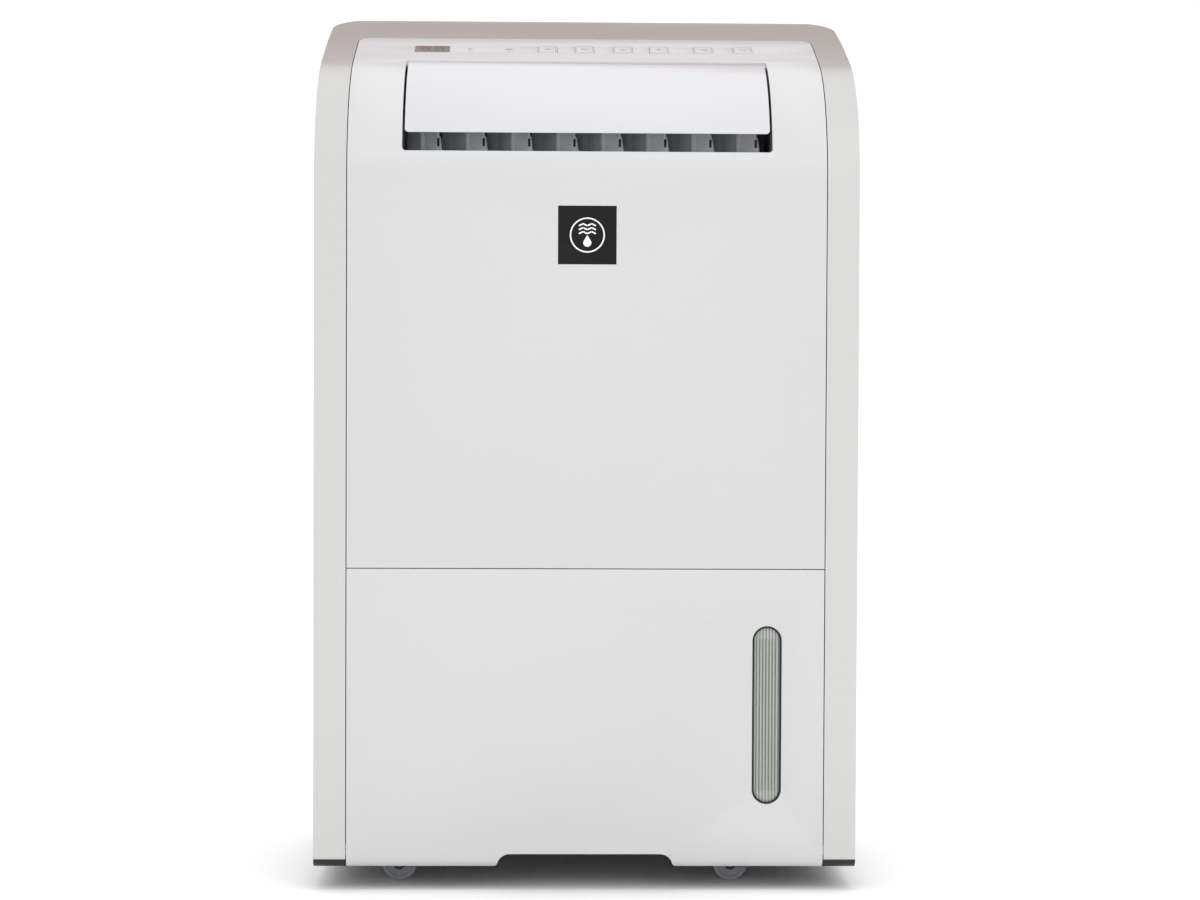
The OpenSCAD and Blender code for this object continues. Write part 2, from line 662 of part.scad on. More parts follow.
module fan_impeller() color("white") {
    translate([0, front + scroll_d0 + 6, fan_z]) rotate([-90, 0, 0]) {
        difference() {
            cylinder(r = fan_r, h = 2);
            translate([0, 0, -1]) cylinder(r = shaft_r - 1, h = 4);
        }
        cylinder(r = 14, h = 20);
        translate([0, 0, fan_len - 3]) difference() {
            cylinder(r = fan_r, h = 3);
            translate([0, 0, -1]) cylinder(r = fan_r - 9, h = 5);
        }
        for (a = [0:12:348]) rotate(a) translate([fan_r - 9, -0.8, 1]) cube([8, 1.6, fan_len - 3]);
    }
    rod_y(0, inner_front + 12, scroll_d0 + 8, fan_z, shaft_r);
}
module power_box() color("dimgray")
    box(-inner_half + 2, -scroll_r - 12, 30, 96, coil_z0 - 14, coil_z0 + 66);

// ---------- rear ----------
module rear_grille() color("white") {
    h0 = grille_z0;
    h1 = grille_z1;
    w = grille_half - 0.7;
    difference() {
        box(-w, w, body_d - grille_t, body_d, h0, h1);
        box(-w + 8, w - 8, body_d - grille_t - 1, body_d + 1, h0 + 10, h1 - 12);
    }
    for (z = [h0 + 14:slat_pitch:h1 - 16]) box(-w + 7, w - 7, body_d - grille_t, body_d - 0.5, z, z + 2.4);
    for (x = [-60, 0, 60]) box(x - 1.5, x + 1.5, body_d - grille_t, body_d - 1.5, h0 + 9, h1 - 11);
    rod_x(-grille_half - 3.5, grille_half + 3.5, body_d - grille_pin_in, h0 + grille_pin_in, grille_pin_r);
}
module filter_frame() color("dimgray") {
    w = grille_half - 6;
    difference() {
        box(-w, w, filter_d0, filter_d0 + filter_t, grille_z0 + 8, grille_z1 - 8);
        box(-w + 5, w - 5, filter_d0 - 1, filter_d0 + filter_t + 1, grille_z0 + 13, grille_z1 - 13);
    }
    box(-w + 4, w - 4, filter_d0 + 1.6, filter_d0 + 2.4, grille_z0 + 12, grille_z1 - 12);
    for (x = [-w / 3, w / 3])
        box(x - 2, x + 2, filter_d0 + 0.4, filter_d0 + filter_t - 0.4, grille_z0 + 12, grille_z1 - 12);
}
module hepa_filter() color("white") {
    z0 = grille_z0 + 8;
    z1 = grille_z1 - 12;
    w = grille_half - 12;
    fold = (2 * w) / FOLD_N;
    difference() {
        box(-w - 3, w + 3, hepa_d0, hepa_d0 + hepa_t, z0, z1);
        box(-w, w, hepa_d0 - 1, hepa_d0 + hepa_t + 1, z0 + 3, z1 - 3);
    }
    translate([0, front, z0 + 2]) linear_extrude(z1 - z0 - 4)
        polygon(concat([for (i = [0:FOLD_N]) [-w - 1 + i * (fold + 2 / FOLD_N), hepa_d0 + 2 + (i % 2) * 10]],
            [for (i = [FOLD_N:-1:0]) [-w - 1 + i * (fold + 2 / FOLD_N), hepa_d0 + 3.6 + (i % 2) * 10]]));
}
// A square cup in the rear wall, with the spout in its floor
module drain_spout() color("gainsboro") {
    floor_d = body_d - pocket_depth;
    difference() {
        union() {
            difference() {
                drain_pocket(wall, floor_d - wall, body_d);
                drain_pocket(0, floor_d, body_d + 1);
            }
            rod_y(port_x, floor_d - 0.5, floor_d + spout_len, port_z, spout_r);
            rod_y(port_x, floor_d - 12, floor_d - 0.5, port_z, spout_r + 1.5);
        }
        rod_y(port_x, floor_d - 13, body_d, port_z, spout_r - 2);
    }
}
module cord_gland() color("black")
    difference() {
        union() {
            rod_y(cord_x, body_d - gland_len, body_d, cord_z, gland_r - RUN);
            rod_y(cord_x, body_d - gland_len - 2, body_d - gland_len, cord_z, gland_r + 2);
        }
        rod_y(cord_x, body_d - gland_len - 3, body_d + 1, cord_z, cord_hole_r);
    }
module cabinet_screws() color("silver")
    for (x = [-screw_x, screw_x], z = screw_zs)
        difference() {
            rod_y(x, body_d - wall - 4, body_d - 0.5, z, screw_r);
            box(x - 2.4, x + 2.4, body_d - 1.6, body_d + 1, z - 0.5, z + 0.5);
            box(x - 0.5, x + 0.5, body_d - 1.6, body_d + 1, z - 2.4, z + 2.4);
        }

// ---------- casters ----------
module caster_fork(i) color("dimgray")
    at_caster(CASTERS[i - 1], 0) {
        difference() {
            union() {
                translate([0, 0, base_z - 3.5]) cylinder(r = 8, h = 2.7);
                for (y = [-8, 6]) {
                    translate([-caster_trail, y, wheel_r - 2]) cube([caster_trail, 2, base_z - wheel_r]);
                    translate([-caster_trail, y, wheel_r]) rotate([-90, 0, 0]) cylinder(r = 4, h = 2);
                }
            }
            translate([-caster_trail, 9, wheel_r]) rotate([90, 0, 0]) cylinder(r = axle_r + RUN, h = 18);
        }
        translate([0, 0, base_z - 1]) cylinder(r = stem_r, h = base_t + 2);
    }
module caster_wheel(i) color("black")
    at_caster(CASTERS[i - 1], wheel_r) translate([-caster_trail, 0, 0]) rotate([90, 0, 0]) {
        difference() {
            translate([0, 0, -tread_w / 2]) cylinder(r = wheel_r, h = tread_w);
            for (s = [-1, 1]) translate([0, 0, s * tread_w / 2 - 1.2]) difference() {
                cylinder(r = wheel_r - 2.5, h = 2.4);
                cylinder(r = 4.5, h = 2.4);
            }
        }
        translate([0, 0, -8]) cylinder(r = axle_r, h = 16);
    }

silver_frame();
front_panel();
rear_panel();
side_panel(-1);  // side_panel_left
side_panel(1);  // side_panel_right
base_pan();
tank_bay();
mid_deck();
outlet_duct();
badge();
display_window();
control_board();
flap();
louver_motor();
for (i = [1:vane_n]) vane(i);
vane_link(0);  // vane_link_left
vane_link(group_n);  // vane_link_right
for (i = [1:BUTTON_N]) button(i);
tank_body();
tank_front();
tank_window();
tank_lid();
tank_float();
tank_handle();
compressor();
compressor_mounts();
refrigerant_pipes();
evaporator();
condenser();
drain_pan();
fan_scroll();
fan_motor();
fan_impeller();
power_box();
rear_grille();
filter_frame();
hepa_filter();
drain_spout();
cord_gland();
cabinet_screws();
for (i = [1:4]) caster_fork(i);
for (i = [1:4]) caster_wheel(i);
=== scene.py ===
import json
import math
import bmesh
import bpy
from mathutils import Matrix, Vector


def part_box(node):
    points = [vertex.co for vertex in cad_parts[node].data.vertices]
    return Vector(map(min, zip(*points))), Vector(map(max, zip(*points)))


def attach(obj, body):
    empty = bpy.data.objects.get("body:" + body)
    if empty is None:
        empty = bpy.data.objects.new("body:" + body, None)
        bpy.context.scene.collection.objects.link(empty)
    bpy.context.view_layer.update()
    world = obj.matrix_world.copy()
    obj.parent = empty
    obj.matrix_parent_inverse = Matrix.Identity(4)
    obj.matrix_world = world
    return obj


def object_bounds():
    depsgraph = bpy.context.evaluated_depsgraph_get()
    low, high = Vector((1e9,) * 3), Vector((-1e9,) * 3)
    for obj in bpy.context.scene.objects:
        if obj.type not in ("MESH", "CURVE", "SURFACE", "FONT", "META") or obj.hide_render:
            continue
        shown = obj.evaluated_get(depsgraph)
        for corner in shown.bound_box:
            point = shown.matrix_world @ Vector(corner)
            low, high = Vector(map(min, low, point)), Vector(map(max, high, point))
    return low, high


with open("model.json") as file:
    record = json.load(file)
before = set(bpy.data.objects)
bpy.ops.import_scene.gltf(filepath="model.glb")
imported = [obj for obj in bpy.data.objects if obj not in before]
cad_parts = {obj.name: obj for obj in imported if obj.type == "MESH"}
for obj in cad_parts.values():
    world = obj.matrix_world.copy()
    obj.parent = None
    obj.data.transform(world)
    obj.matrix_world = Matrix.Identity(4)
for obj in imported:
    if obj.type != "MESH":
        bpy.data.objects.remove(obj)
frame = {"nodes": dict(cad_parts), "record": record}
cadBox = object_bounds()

mm = 0.001
frontY = cadBox[0][1]
joints = {joint["name"]: joint for joint in frame["record"]["behaviour"]["joints"]}


cameraSet = {
    "side": -30.5 * mm, "distance": 1780 * mm, "height": 344 * mm,
    "turn": 1.27, "tip": -1.65, "roll": 0.25, "lens": 80.85, "sensor": 36}


def makeCamera(s):
    data = bpy.data.cameras.new("studioCamera")
    data.lens, data.sensor_width = s["lens"], s["sensor"]
    camera = bpy.data.objects.new("studioCamera", data)
    place = Matrix.Translation((s["side"], frontY - s["distance"], s["height"]))
    turn = Matrix.Rotation(math.radians(-s["turn"]), 4, "Z")
    tip = Matrix.Rotation(math.radians(90 + s["tip"]), 4, "X")
    camera.matrix_world = place @ turn @ tip @ Matrix.Rotation(math.radians(s["roll"]), 4, "Z")
    bpy.context.collection.objects.link(camera)
    bpy.context.scene.camera = camera


makeCamera(cameraSet)
print("camera placed")


def linear(hexColour):
    parts = [int(hexColour[i:i + 2], 16) / 255 for i in (1, 3, 5)]
    return [c / 12.92 if c <= 0.04045 else ((c + 0.055) / 1.055) ** 2.4 for c in parts] + [1.0]


def addNode(tree, kind, settings=None, links=None):
    # a key is one of the node's own settings, or else a socket's name or number
    node = tree.nodes.new(kind)
    for key, value in (settings or {}).items():
        if isinstance(key, str) and hasattr(node, key):
            setattr(node, key, value)
        else:
            node.inputs[key].default_value = value
    for key, source in (links or {}).items():
        tree.links.new(source, node.inputs[key])
    return node


# a colour mix holds its two colours on these sockets, and gives the result on the third number
mixLow, mixHigh, mixResult = 6, 7, 2


def surface(name, colour, shader):
    material = bpy.data.materials.new(name)
    material.use_nodes = True
    material.diffuse_color = linear(colour)
    tree = material.node_tree
    body = tree.nodes["Principled BSDF"]
    body.inputs["Base Color"].default_value = linear(colour)
    for key, value in shader.items():
        body.inputs[key].default_value = value
    return material, tree, body


# Moulded, cast or coated stuff: a fine noise at the grain's size breaks up the highlight, and a slow one
# mottles the colour and the gloss. Sizes are in millimetres. Plastic grain is really about 0.1 mm, which is
# too fine to show, so it is drawn coarser.
mouldSet = {"patch": 60, "patchDetail": 2.0, "grainDetail": 3.0, "grainRoughness": 0.6}


def moulded(name, colour, shader, grain=0.5, depth=0.004, mottle=0.03, roughSwing=0.08):
    material, tree, body = surface(name, colour, shader)
    place = addNode(tree, "ShaderNodeTexCoord").outputs["Object"]
    fine = addNode(
        tree, "ShaderNodeTexNoise",
        {"Scale": 1 / (grain * mm), "Detail": mouldSet["grainDetail"], "Roughness": mouldSet["grainRoughness"]},
        {"Vector": place})
    slow = addNode(
        tree, "ShaderNodeTexNoise",
        {"Scale": 1 / (mouldSet["patch"] * mm), "Detail": mouldSet["patchDetail"]}, {"Vector": place})
    base = linear(colour)
    low = [c * (1 - mottle) for c in base[:3]] + [1.0]
    blend = addNode(
        tree, "ShaderNodeMix", {"data_type": "RGBA", mixLow: low, mixHigh: base}, {"Factor": slow.outputs["Fac"]})
    tree.links.new(blend.outputs[mixResult], body.inputs["Base Color"])
    rough = shader["Roughness"]
    swing = addNode(
        tree, "ShaderNodeMapRange",
        {"To Min": rough - roughSwing / 2, "To Max": rough + roughSwing / 2}, {"Value": slow.outputs["Fac"]})
    tree.links.new(swing.outputs["Result"], body.inputs["Roughness"])
    bump = addNode(
        tree, "ShaderNodeBump", {"Strength": 1.0, "Distance": depth * mm}, {"Height": fine.outputs["Fac"]})
    tree.links.new(bump.outputs["Normal"], body.inputs["Normal"])
    return material


# Aluminium flakes in lacquer: each cell has its own height and shade, so the paint glitters softly over
# the slow waves of sprayed lacquer. The flakes are drawn larger than real ones, so that they show.
# Along the foot, below a set height, the colour fades to a painted shade, where the band curves in under itself.
paintSet = {
    "shader": {"Metallic": 0.72, "Roughness": 0.42, "Coat Weight": 0.25, "Coat Roughness": 0.2},
    "flake": 0.35, "darkest": 0.94, "brightest": 1.05, "flakeShare": 0.4,
    "wave": 1.6, "waveDetail": 2.0, "depth": 0.006,
    "paintedShadeTop": 20.5, "paintedShadeFade": 0.6, "paintedShadeColour": "#2C2C2A"}


def metallicPaint(name, colour, s):
    material, tree, body = surface(name, colour, s["shader"])
    place = addNode(tree, "ShaderNodeTexCoord").outputs["Object"]
    cells = addNode(tree, "ShaderNodeTexVoronoi", {"Scale": 1 / (s["flake"] * mm)}, {"Vector": place})
    shade = addNode(
        tree, "ShaderNodeMapRange",
        {"To Min": s["darkest"], "To Max": s["brightest"]}, {"Value": cells.outputs["Distance"]})
    tinted = addNode(
        tree, "ShaderNodeVectorMath",
        {"operation": "SCALE", 0: linear(colour)[:3]}, {"Scale": shade.outputs["Result"]})
    height = addNode(tree, "ShaderNodeSeparateXYZ", {}, {0: place})
    # painted shade: the paint darkens near the foot, standing in for the shade where the band turns under
    paintedShadeMask = addNode(
        tree, "ShaderNodeMapRange",
        {"From Min": s["paintedShadeTop"] * mm, "From Max": (s["paintedShadeTop"] + s["paintedShadeFade"]) * mm},
        {"Value": height.outputs["Z"]})
    whole = addNode(
        tree, "ShaderNodeMix", {"data_type": "RGBA", mixLow: linear(s["paintedShadeColour"])},
        {"Factor": paintedShadeMask.outputs["Result"], mixHigh: tinted.outputs[0]})
    tree.links.new(whole.outputs[mixResult], body.inputs["Base Color"])
    waves = addNode(
        tree, "ShaderNodeTexNoise",
        {"Scale": 1 / (s["wave"] * mm), "Detail": s["waveDetail"]}, {"Vector": place})
    relief = addNode(
        tree, "ShaderNodeMath", {"operation": "MULTIPLY_ADD", 1: s["flakeShare"]},
        {0: cells.outputs["Distance"], 2: waves.outputs["Fac"]})
    bump = addNode(
        tree, "ShaderNodeBump", {"Strength": 1.0, "Distance": s["depth"] * mm}, {"Height": relief.outputs[0]})
    tree.links.new(bump.outputs["Normal"], body.inputs["Normal"])
    return material


# Drawn or rolled metal: fine lines, long along the axes that "across" leaves at 1
drawnSet = {"line": 0.4, "stretch": 12, "detail": 4.0, "smoother": 0.08, "rougher": 0.12, "depth": 0.01}


def drawnMetal(name, colour, rough, across=(1, 1, drawnSet["stretch"])):
    material, tree, body = surface(name, colour, {"Metallic": 1.0, "Roughness": rough})
    place = addNode(tree, "ShaderNodeTexCoord").outputs["Object"]
    stretched = addNode(tree, "ShaderNodeVectorMath", {"operation": "MULTIPLY", 1: across}, {0: place})
    scale = 1 / (drawnSet["line"] * drawnSet["stretch"] * mm)
    lines = addNode(
        tree, "ShaderNodeTexNoise",
        {"Scale": scale, "Detail": drawnSet["detail"]}, {"Vector": stretched.outputs[0]})
    swing = addNode(
        tree, "ShaderNodeMapRange",
        {"To Min": rough - drawnSet["smoother"], "To Max": rough + drawnSet["rougher"]},
        {"Value": lines.outputs["Fac"]})
    tree.links.new(swing.outputs["Result"], body.inputs["Roughness"])
    bump = addNode(
        tree, "ShaderNodeBump",
        {"Strength": 1.0, "Distance": drawnSet["depth"] * mm}, {"Height": lines.outputs["Fac"]})
    tree.links.new(bump.outputs["Normal"], body.inputs["Normal"])
    return material


# Woven screen: two crossed waves at the thread spacing. The texture repeats every "repeat" of its scale.
wovenSet = {"spacing": 1.6, "repeat": 0.314, "gapShade": 0.3, "depth": 0.2, "roughness": 0.8}


def wovenMesh(name, colour, s):
    material, tree, body = surface(name, colour, {"Roughness": s["roughness"]})
    place = addNode(tree, "ShaderNodeTexCoord").outputs["Object"]
    waves = [
        addNode(
            tree, "ShaderNodeTexWave",
            {"bands_direction": axis, "Scale": s["repeat"] / (s["spacing"] * mm), "Distortion": 0.0},
            {"Vector": place})
        for axis in "XZ"]
    weave = addNode(
        tree, "ShaderNodeMath", {"operation": "MAXIMUM"}, {0: waves[0].outputs["Fac"], 1: waves[1].outputs["Fac"]})
    gap = [c * s["gapShade"] for c in linear(colour)[:3]] + [1]
    shade = addNode(
        tree, "ShaderNodeMix", {"data_type": "RGBA", mixLow: gap, mixHigh: linear(colour)},
        {"Factor": weave.outputs[0]})
    tree.links.new(shade.outputs[mixResult], body.inputs["Base Color"])
    bump = addNode(
        tree, "ShaderNodeBump", {"Strength": 1.0, "Distance": s["depth"] * mm}, {"Height": weave.outputs[0]})
    tree.links.new(bump.outputs["Normal"], body.inputs["Normal"])
    return material


# Moulded flutes at the rib spacing: each one gets a painted highlight line and a painted shade line beside it
flutedSet = {
    "shader": {"Roughness": 0.22, "IOR": 1.57, "Transmission Weight": 0.15},
    "pitch": 2.1, "repeat": 0.31416, "phase": -0.524, "strength": 0.8, "depth": 0.15}


def flutedLens(name, dark, pale, s):
    material, tree, body = surface(name, pale, s["shader"])
    place = addNode(tree, "ShaderNodeTexCoord").outputs["Object"]
    flutes = addNode(
        tree, "ShaderNodeTexWave",
        {"bands_direction": "X", "Scale": s["repeat"] / (s["pitch"] * mm), "Distortion": 0.0,
         "Phase Offset": s["phase"]},
        {"Vector": place})
    # painted highlight and shade: the base colour swings between the dark and pale tones along each flute
    shade = addNode(
        tree, "ShaderNodeMix", {"data_type": "RGBA", mixLow: linear(dark), mixHigh: linear(pale)},
        {"Factor": flutes.outputs["Fac"]})
    tree.links.new(shade.outputs[mixResult], body.inputs["Base Color"])
    bump = addNode(
        tree, "ShaderNodeBump",
        {"Strength": s["strength"], "Distance": s["depth"] * mm}, {"Height": flutes.outputs["Fac"]})
    tree.links.new(bump.outputs["Normal"], body.inputs["Normal"])
    return material


# ABS from a polished tool: an even white with a broad, soft sheen, and crisper on the flap
whiteAbs = moulded(
    "absWhiteGlossMoulded", "#C9C9CA", {"Roughness": 0.3, "IOR": 1.53, "Specular IOR Level": 0.2},
    grain=0.8, depth=0.003, mottle=0.012)
flapAbs = moulded(
    "absWhitePolishedMoulded", "#CACACC", {"Roughness": 0.22, "IOR": 1.53, "Specular IOR Level": 0.4},
    grain=0.8, depth=0.002, mottle=0.01)
# sprayed lacquer with metal flakes: a soft metal sheen that follows the bands' curve
silverPaint = metallicPaint("silverLacquerOnAbs", "#C8C8C6", paintSet)
# ABS from textured tools: dull greys that let the duct fall back into shade
ductAbs = moulded(
    "absMidGreyMoulded", "#7C7F84", {"Roughness": 0.5, "IOR": 1.5}, grain=0.7, depth=0.01, mottle=0.1)
darkAbs = moulded(
    "absCharcoalTextured", "#232527", {"Roughness": 0.55, "IOR": 1.5}, grain=0.7, depth=0.02, mottle=0.15)
innerGrey = moulded(
    "absLightGreyMoulded", "#B9BBBB", {"Roughness": 0.48, "IOR": 1.52}, grain=0.7, depth=0.01, mottle=0.05)
# satin ABS: the blades show a soft edge light
vaneAbs = moulded(
    "absGreySatinMoulded", "#D0D4D9", {"Roughness": 0.36, "IOR": 1.5}, grain=0.6, depth=0.004, mottle=0.08)
# acetal: near-black with a waxy sheen
hookAbs = moulded(
    "acetalBlackMoulded", "#1B1C1E", {"Roughness": 0.4, "IOR": 1.48}, grain=0.5, depth=0.006, mottle=0.1)
# polished acrylic: a deep black with a small clear highlight
badgeGloss = moulded(
    "acrylicBlackPolished", "#101010", {"Roughness": 0.12, "IOR": 1.49, "Specular IOR Level": 0.2},
    grain=1.2, depth=0.001, mottle=0.05, roughSwing=0.04)
# screen inks: flat and matter than what they are printed on
badgePrint = moulded("screenInkWhite", "#EDEEEF", {"Roughness": 0.45}, grain=0.4, depth=0.003, mottle=0.05)
iconInk = moulded("screenInkMidGrey", "#8B8E92", {"Roughness": 0.5}, grain=0.4, depth=0.003, mottle=0.06)
# smoked acrylic with dim segments under it: a glossy grey patch
lensSmoke = moulded(
    "acrylicSmokedLens", "#8E8C8A", {"Roughness": 0.16, "IOR": 1.49},
    grain=1.5, depth=0.001, mottle=0.3, roughSwing=0.04)
segmentInk = moulded(
    "liquidCrystalSegment", "#5B595B", {"Roughness": 0.3}, grain=0.5, depth=0.001, mottle=0.05)
# fluted polystyrene: fine upright lines of painted highlight and painted shade
windowAbs = flutedLens("polystyreneGreyFluted", "#7C817B", "#BFC4BD", flutedSet)
# natural polypropylene: milky, and lets some light through
tankClear = moulded(
    "polypropyleneNaturalMoulded", "#DDE4E6", {"Roughness": 0.35, "IOR": 1.49, "Transmission Weight": 0.6},
    grain=0.9, depth=0.01, mottle=0.05)
# fused beads: matt, with dimples the size of a bead
floatFoam = moulded("foamedPolystyreneBeads", "#E9E7DE", {"Roughness": 0.8}, grain=2.4, depth=0.12, mottle=0.06)
# baked enamel on steel: a hard black gloss with slight waves
compressorEnamel = moulded(
    "enamelBlackBakedOnSteel", "#141516", {"Roughness": 0.28, "IOR": 1.6}, grain=2.2, depth=0.02, mottle=0.2)
# rubber: matt black that takes no clear highlight
rubberBlack = moulded("rubberBlackMoulded", "#1A1A1A", {"Roughness": 0.75}, grain=0.6, depth=0.02, mottle=0.1)
# solder mask: a green gloss, darker over bare board
boardMask = moulded(
    "solderMaskGreenOnGlassEpoxy", "#1D4A2C", {"Roughness": 0.35}, grain=1.0, depth=0.01, mottle=0.25)
# nylon that has rolled on floors: scuffed and blotchy
wheelNylon = moulded(
    "nylonGreyMouldedWorn", "#90939B", {"Roughness": 0.5, "IOR": 1.53}, grain=0.9, depth=0.03, mottle=0.3)
# folded filter paper: a fibrous warm white
paperPleat = moulded("filterPaperPleated", "#E6E2D6", {"Roughness": 0.9}, grain=0.5, depth=0.05, mottle=0.06)
# bare metals: bright, with the lines that drawing, rolling or turning leaves
motorSteel = drawnMetal("zincPlatedSteelPressed", "#B9BABB", 0.35)
finAluminium = drawnMetal("aluminiumFinStockRolled", "#D6D8DA", 0.32, (1, drawnSet["stretch"], 1))
copperTube = drawnMetal("copperTubeDrawn", "#C47B52", 0.3)
screwZinc = drawnMetal("zincPlatedScrewTurned", "#A8A9AA", 0.3, (1, 1, 1))
# polyester net: dark threads with darker gaps
filterNet = wovenMesh("polyesterFilterNetWoven", "#3A3C40", wovenSet)
print("materials made")


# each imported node's material, and the width in millimetres that its edges are softened by
nodeFinish = {
    "silver_frame": (silverPaint, 0), "front_panel": (whiteAbs, 0.5), "rear_panel": (whiteAbs, 0.4),
    "side_panel_left": (whiteAbs, 0.5), "side_panel_right": (whiteAbs, 0.5), "base_pan": (darkAbs, 0.4),
    "tank_bay": (innerGrey, 0.3), "mid_deck": (innerGrey, 0.3), "outlet_duct": (ductAbs, 0.3),
    "badge": (badgeGloss, 0.15), "display_window": (lensSmoke, 0.2), "control_board": (boardMask, 0),
    "flap": (flapAbs, 0.6), "louver_motor": (motorSteel, 0.4), "tank_body": (tankClear, 0.5),
    "tank_front": (whiteAbs, 0.5), "tank_window": (windowAbs, 0.25), "tank_lid": (innerGrey, 0.3),
    "tank_float": (floatFoam, 0.6), "tank_handle": (innerGrey, 0.6), "compressor": (compressorEnamel, 1.2),
    "compressor_mounts": (rubberBlack, 0.6), "refrigerant_pipes": (copperTube, 0),
    "evaporator": (finAluminium, 0), "condenser": (finAluminium, 0), "drain_pan": (innerGrey, 0.4),
    "fan_scroll": (innerGrey, 0.5), "fan_motor": (motorSteel, 0.8), "fan_impeller": (innerGrey, 0.2),
    "power_box": (darkAbs, 0.8), "rear_grille": (whiteAbs, 0.3), "filter_frame": (filterNet, 0),
    "hepa_filter": (paperPleat, 0), "drain_spout": (innerGrey, 0.5), "cord_gland": (rubberBlack, 0.6),
    "cabinet_screws": (screwZinc, 0.15)}
# the same for nodes that come in numbers, where the first stem that fits a name counts
familyFinish = {
    "vane_link": (hookAbs, 0.2), "vane_": (vaneAbs, 0.25), "button_": (whiteAbs, 0.3),
    "caster_fork": (darkAbs, 0.3), "caster_wheel": (wheelNylon, 0.8)}
for name in frame["nodes"]:
    for stem, finish in familyFinish.items():
        if name.startswith(stem):
            nodeFinish.setdefault(name, finish)

edgeSet = {"weld": 0.005, "angle": 28, "segments": 2}


def finishNode(node, material, edge):
    node.data.materials.clear()
    node.data.materials.append(material)
    node.data.polygons.foreach_set("use_smooth", [True] * len(node.data.polygons))
    weld = node.modifiers.new("weldFaces", "WELD")
    weld.merge_threshold = edgeSet["weld"] * mm
    if edge:
        bevel = node.modifiers.new("softEdges", "BEVEL")
        bevel.width, bevel.segments, bevel.limit_method = edge * mm, edgeSet["segments"], "ANGLE"
        bevel.angle_limit, bevel.harden_normals = math.radians(edgeSet["angle"]), True
    else:
        split = node.modifiers.new("sharpEdges", "EDGE_SPLIT")
        split.split_angle = math.radians(edgeSet["angle"])


for name, (material, edge) in nodeFinish.items():
    finishNode(frame["nodes"][name], material, edge)
print("packed nodes finished")


# Every piece below is drawn in millimetres, and its place matrix takes it to the cabinet
def keepPiece(name, bm, body, material, place):
    bmesh.ops.transform(bm, matrix=place @ Matrix.Diagonal((mm, mm, mm, 1)), verts=bm.verts)
    bmesh.ops.recalc_face_normals(bm, faces=bm.faces)
    data = bpy.data.meshes.new(name)
    bm.to_mesh(data)
    bm.free()
    data.materials.append(material)
    piece = bpy.data.objects.new(name, data)
    bpy.context.collection.objects.link(piece)
    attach(piece, body)


def leaveRim(bm, face, line):
    # insets a face and takes its middle out, and gives the rim's vertices
    bmesh.ops.inset_region(bm, faces=[face], thickness=line, use_boundary=True, use_even_offset=True)
    rim = set(f for v in face.verts for f in v.link_faces) - {face}
    parts = set(v for f in rim for v in f.verts)
    bmesh.ops.delete(bm, geom=[face], context="FACES_ONLY")
    return parts


def moveFlat(bm, parts, x, y, turn):
    move = Matrix.Translation((x, y, 0)) @ Matrix.Rotation(math.radians(turn), 4, "Z")
    bmesh.ops.transform(bm, matrix=move, verts=list(parts))


def flatPatch(bm, width, height, x=0, y=0, turn=0, corner=0, line=0):
    # a rounded patch, or its outline where a line width is given
    made = bmesh.ops.create_grid(bm, x_segments=1, y_segments=1, size=0.5)
    bmesh.ops.scale(bm, vec=(width, height, 1), verts=made["verts"])
    face = made["verts"][0].link_faces[0]
    if corner:
        rounded = bmesh.ops.bevel(
            bm, geom=made["verts"], offset=corner, affect="VERTICES", segments=6, profile=0.5, material=-1)
        face = max(set(f for v in rounded["verts"] for f in v.link_faces), key=lambda f: f.calc_area())
    moveFlat(bm, leaveRim(bm, face, line) if line else face.verts, x, y, turn)


discSegments = 28


def flatDisc(bm, radius, x=0, y=0, squeeze=1, turn=0, line=0):
    # a disc or an ellipse, or its outline where a line width is given
    made = bmesh.ops.create_circle(bm, cap_ends=True, segments=discSegments, radius=radius)
    face = made["verts"][0].link_faces[0]
    bmesh.ops.scale(bm, vec=(1, squeeze, 1), verts=made["verts"])
    moveFlat(bm, leaveRim(bm, face, line) if line else made["verts"], x, y, turn)


def thicken(bm, height):
    # print has a body: the patch is raised by its ink's thickness
    raised = bmesh.ops.extrude_face_region(bm, geom=list(bm.faces))
    top = [g for g in raised["geom"] if isinstance(g, bmesh.types.BMVert)]
    bmesh.ops.translate(bm, vec=(0, 0, height), verts=top)


controlRow = {"depth": 93.5 * mm, "keyLength": 19.0, "recess": 0.4, "ink": 0.05, "proud": 0.41, "markLift": 0.02}
pressAxis = Vector(joints["button_1_press"]["axis"])
slopeTilt = math.atan2(pressAxis.y, -pressAxis.z)


def slopePlace(x, lift):
    # the frame of the sloping top at the control row, z along its normal
    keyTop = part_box("button_1")[1].z
    topRear = keyTop - math.sin(slopeTilt) * (controlRow["keyLength"] / 2) * mm
    surfaceZ = topRear - controlRow["recess"] * mm * math.cos(slopeTilt)
    base = Matrix.Translation((x * mm, frontY + controlRow["depth"], surfaceZ))
    return base @ Matrix.Rotation(slopeTilt, 4, "X") @ Matrix.Translation((0, 0, lift * mm))


dropIcon = {"line": 0.35, "radius": 1.7, "down": 0.5, "side": 2.6, "spread": 0.75, "rise": 1.7, "lean": 24}


def drawDrop(bm):
    s = dropIcon
    flatDisc(bm, s["radius"], 0, -s["down"], line=s["line"])
    for way in (-1, 1):
        flatPatch(bm, s["line"], s["side"], way * s["spread"], s["rise"], way * s["lean"])


fanIcon = {"turns": (90, 210, 330), "blade": 1.35, "reach": 1.5, "squeeze": 0.6, "line": 0.3, "hub": 0.45}


def drawFan(bm):
    s = fanIcon
    for turn in s["turns"]:
        a = math.radians(turn)
        flatDisc(
            bm, s["blade"], s["reach"] * math.cos(a), s["reach"] * math.sin(a), s["squeeze"], turn,
            line=s["line"])
    flatDisc(bm, s["hub"])


clockIcon = {"line": 0.35, "radius": 2.4, "longHand": 1.7, "longMiddle": 0.8, "shortHand": 1.3, "shortMiddle": 0.6}


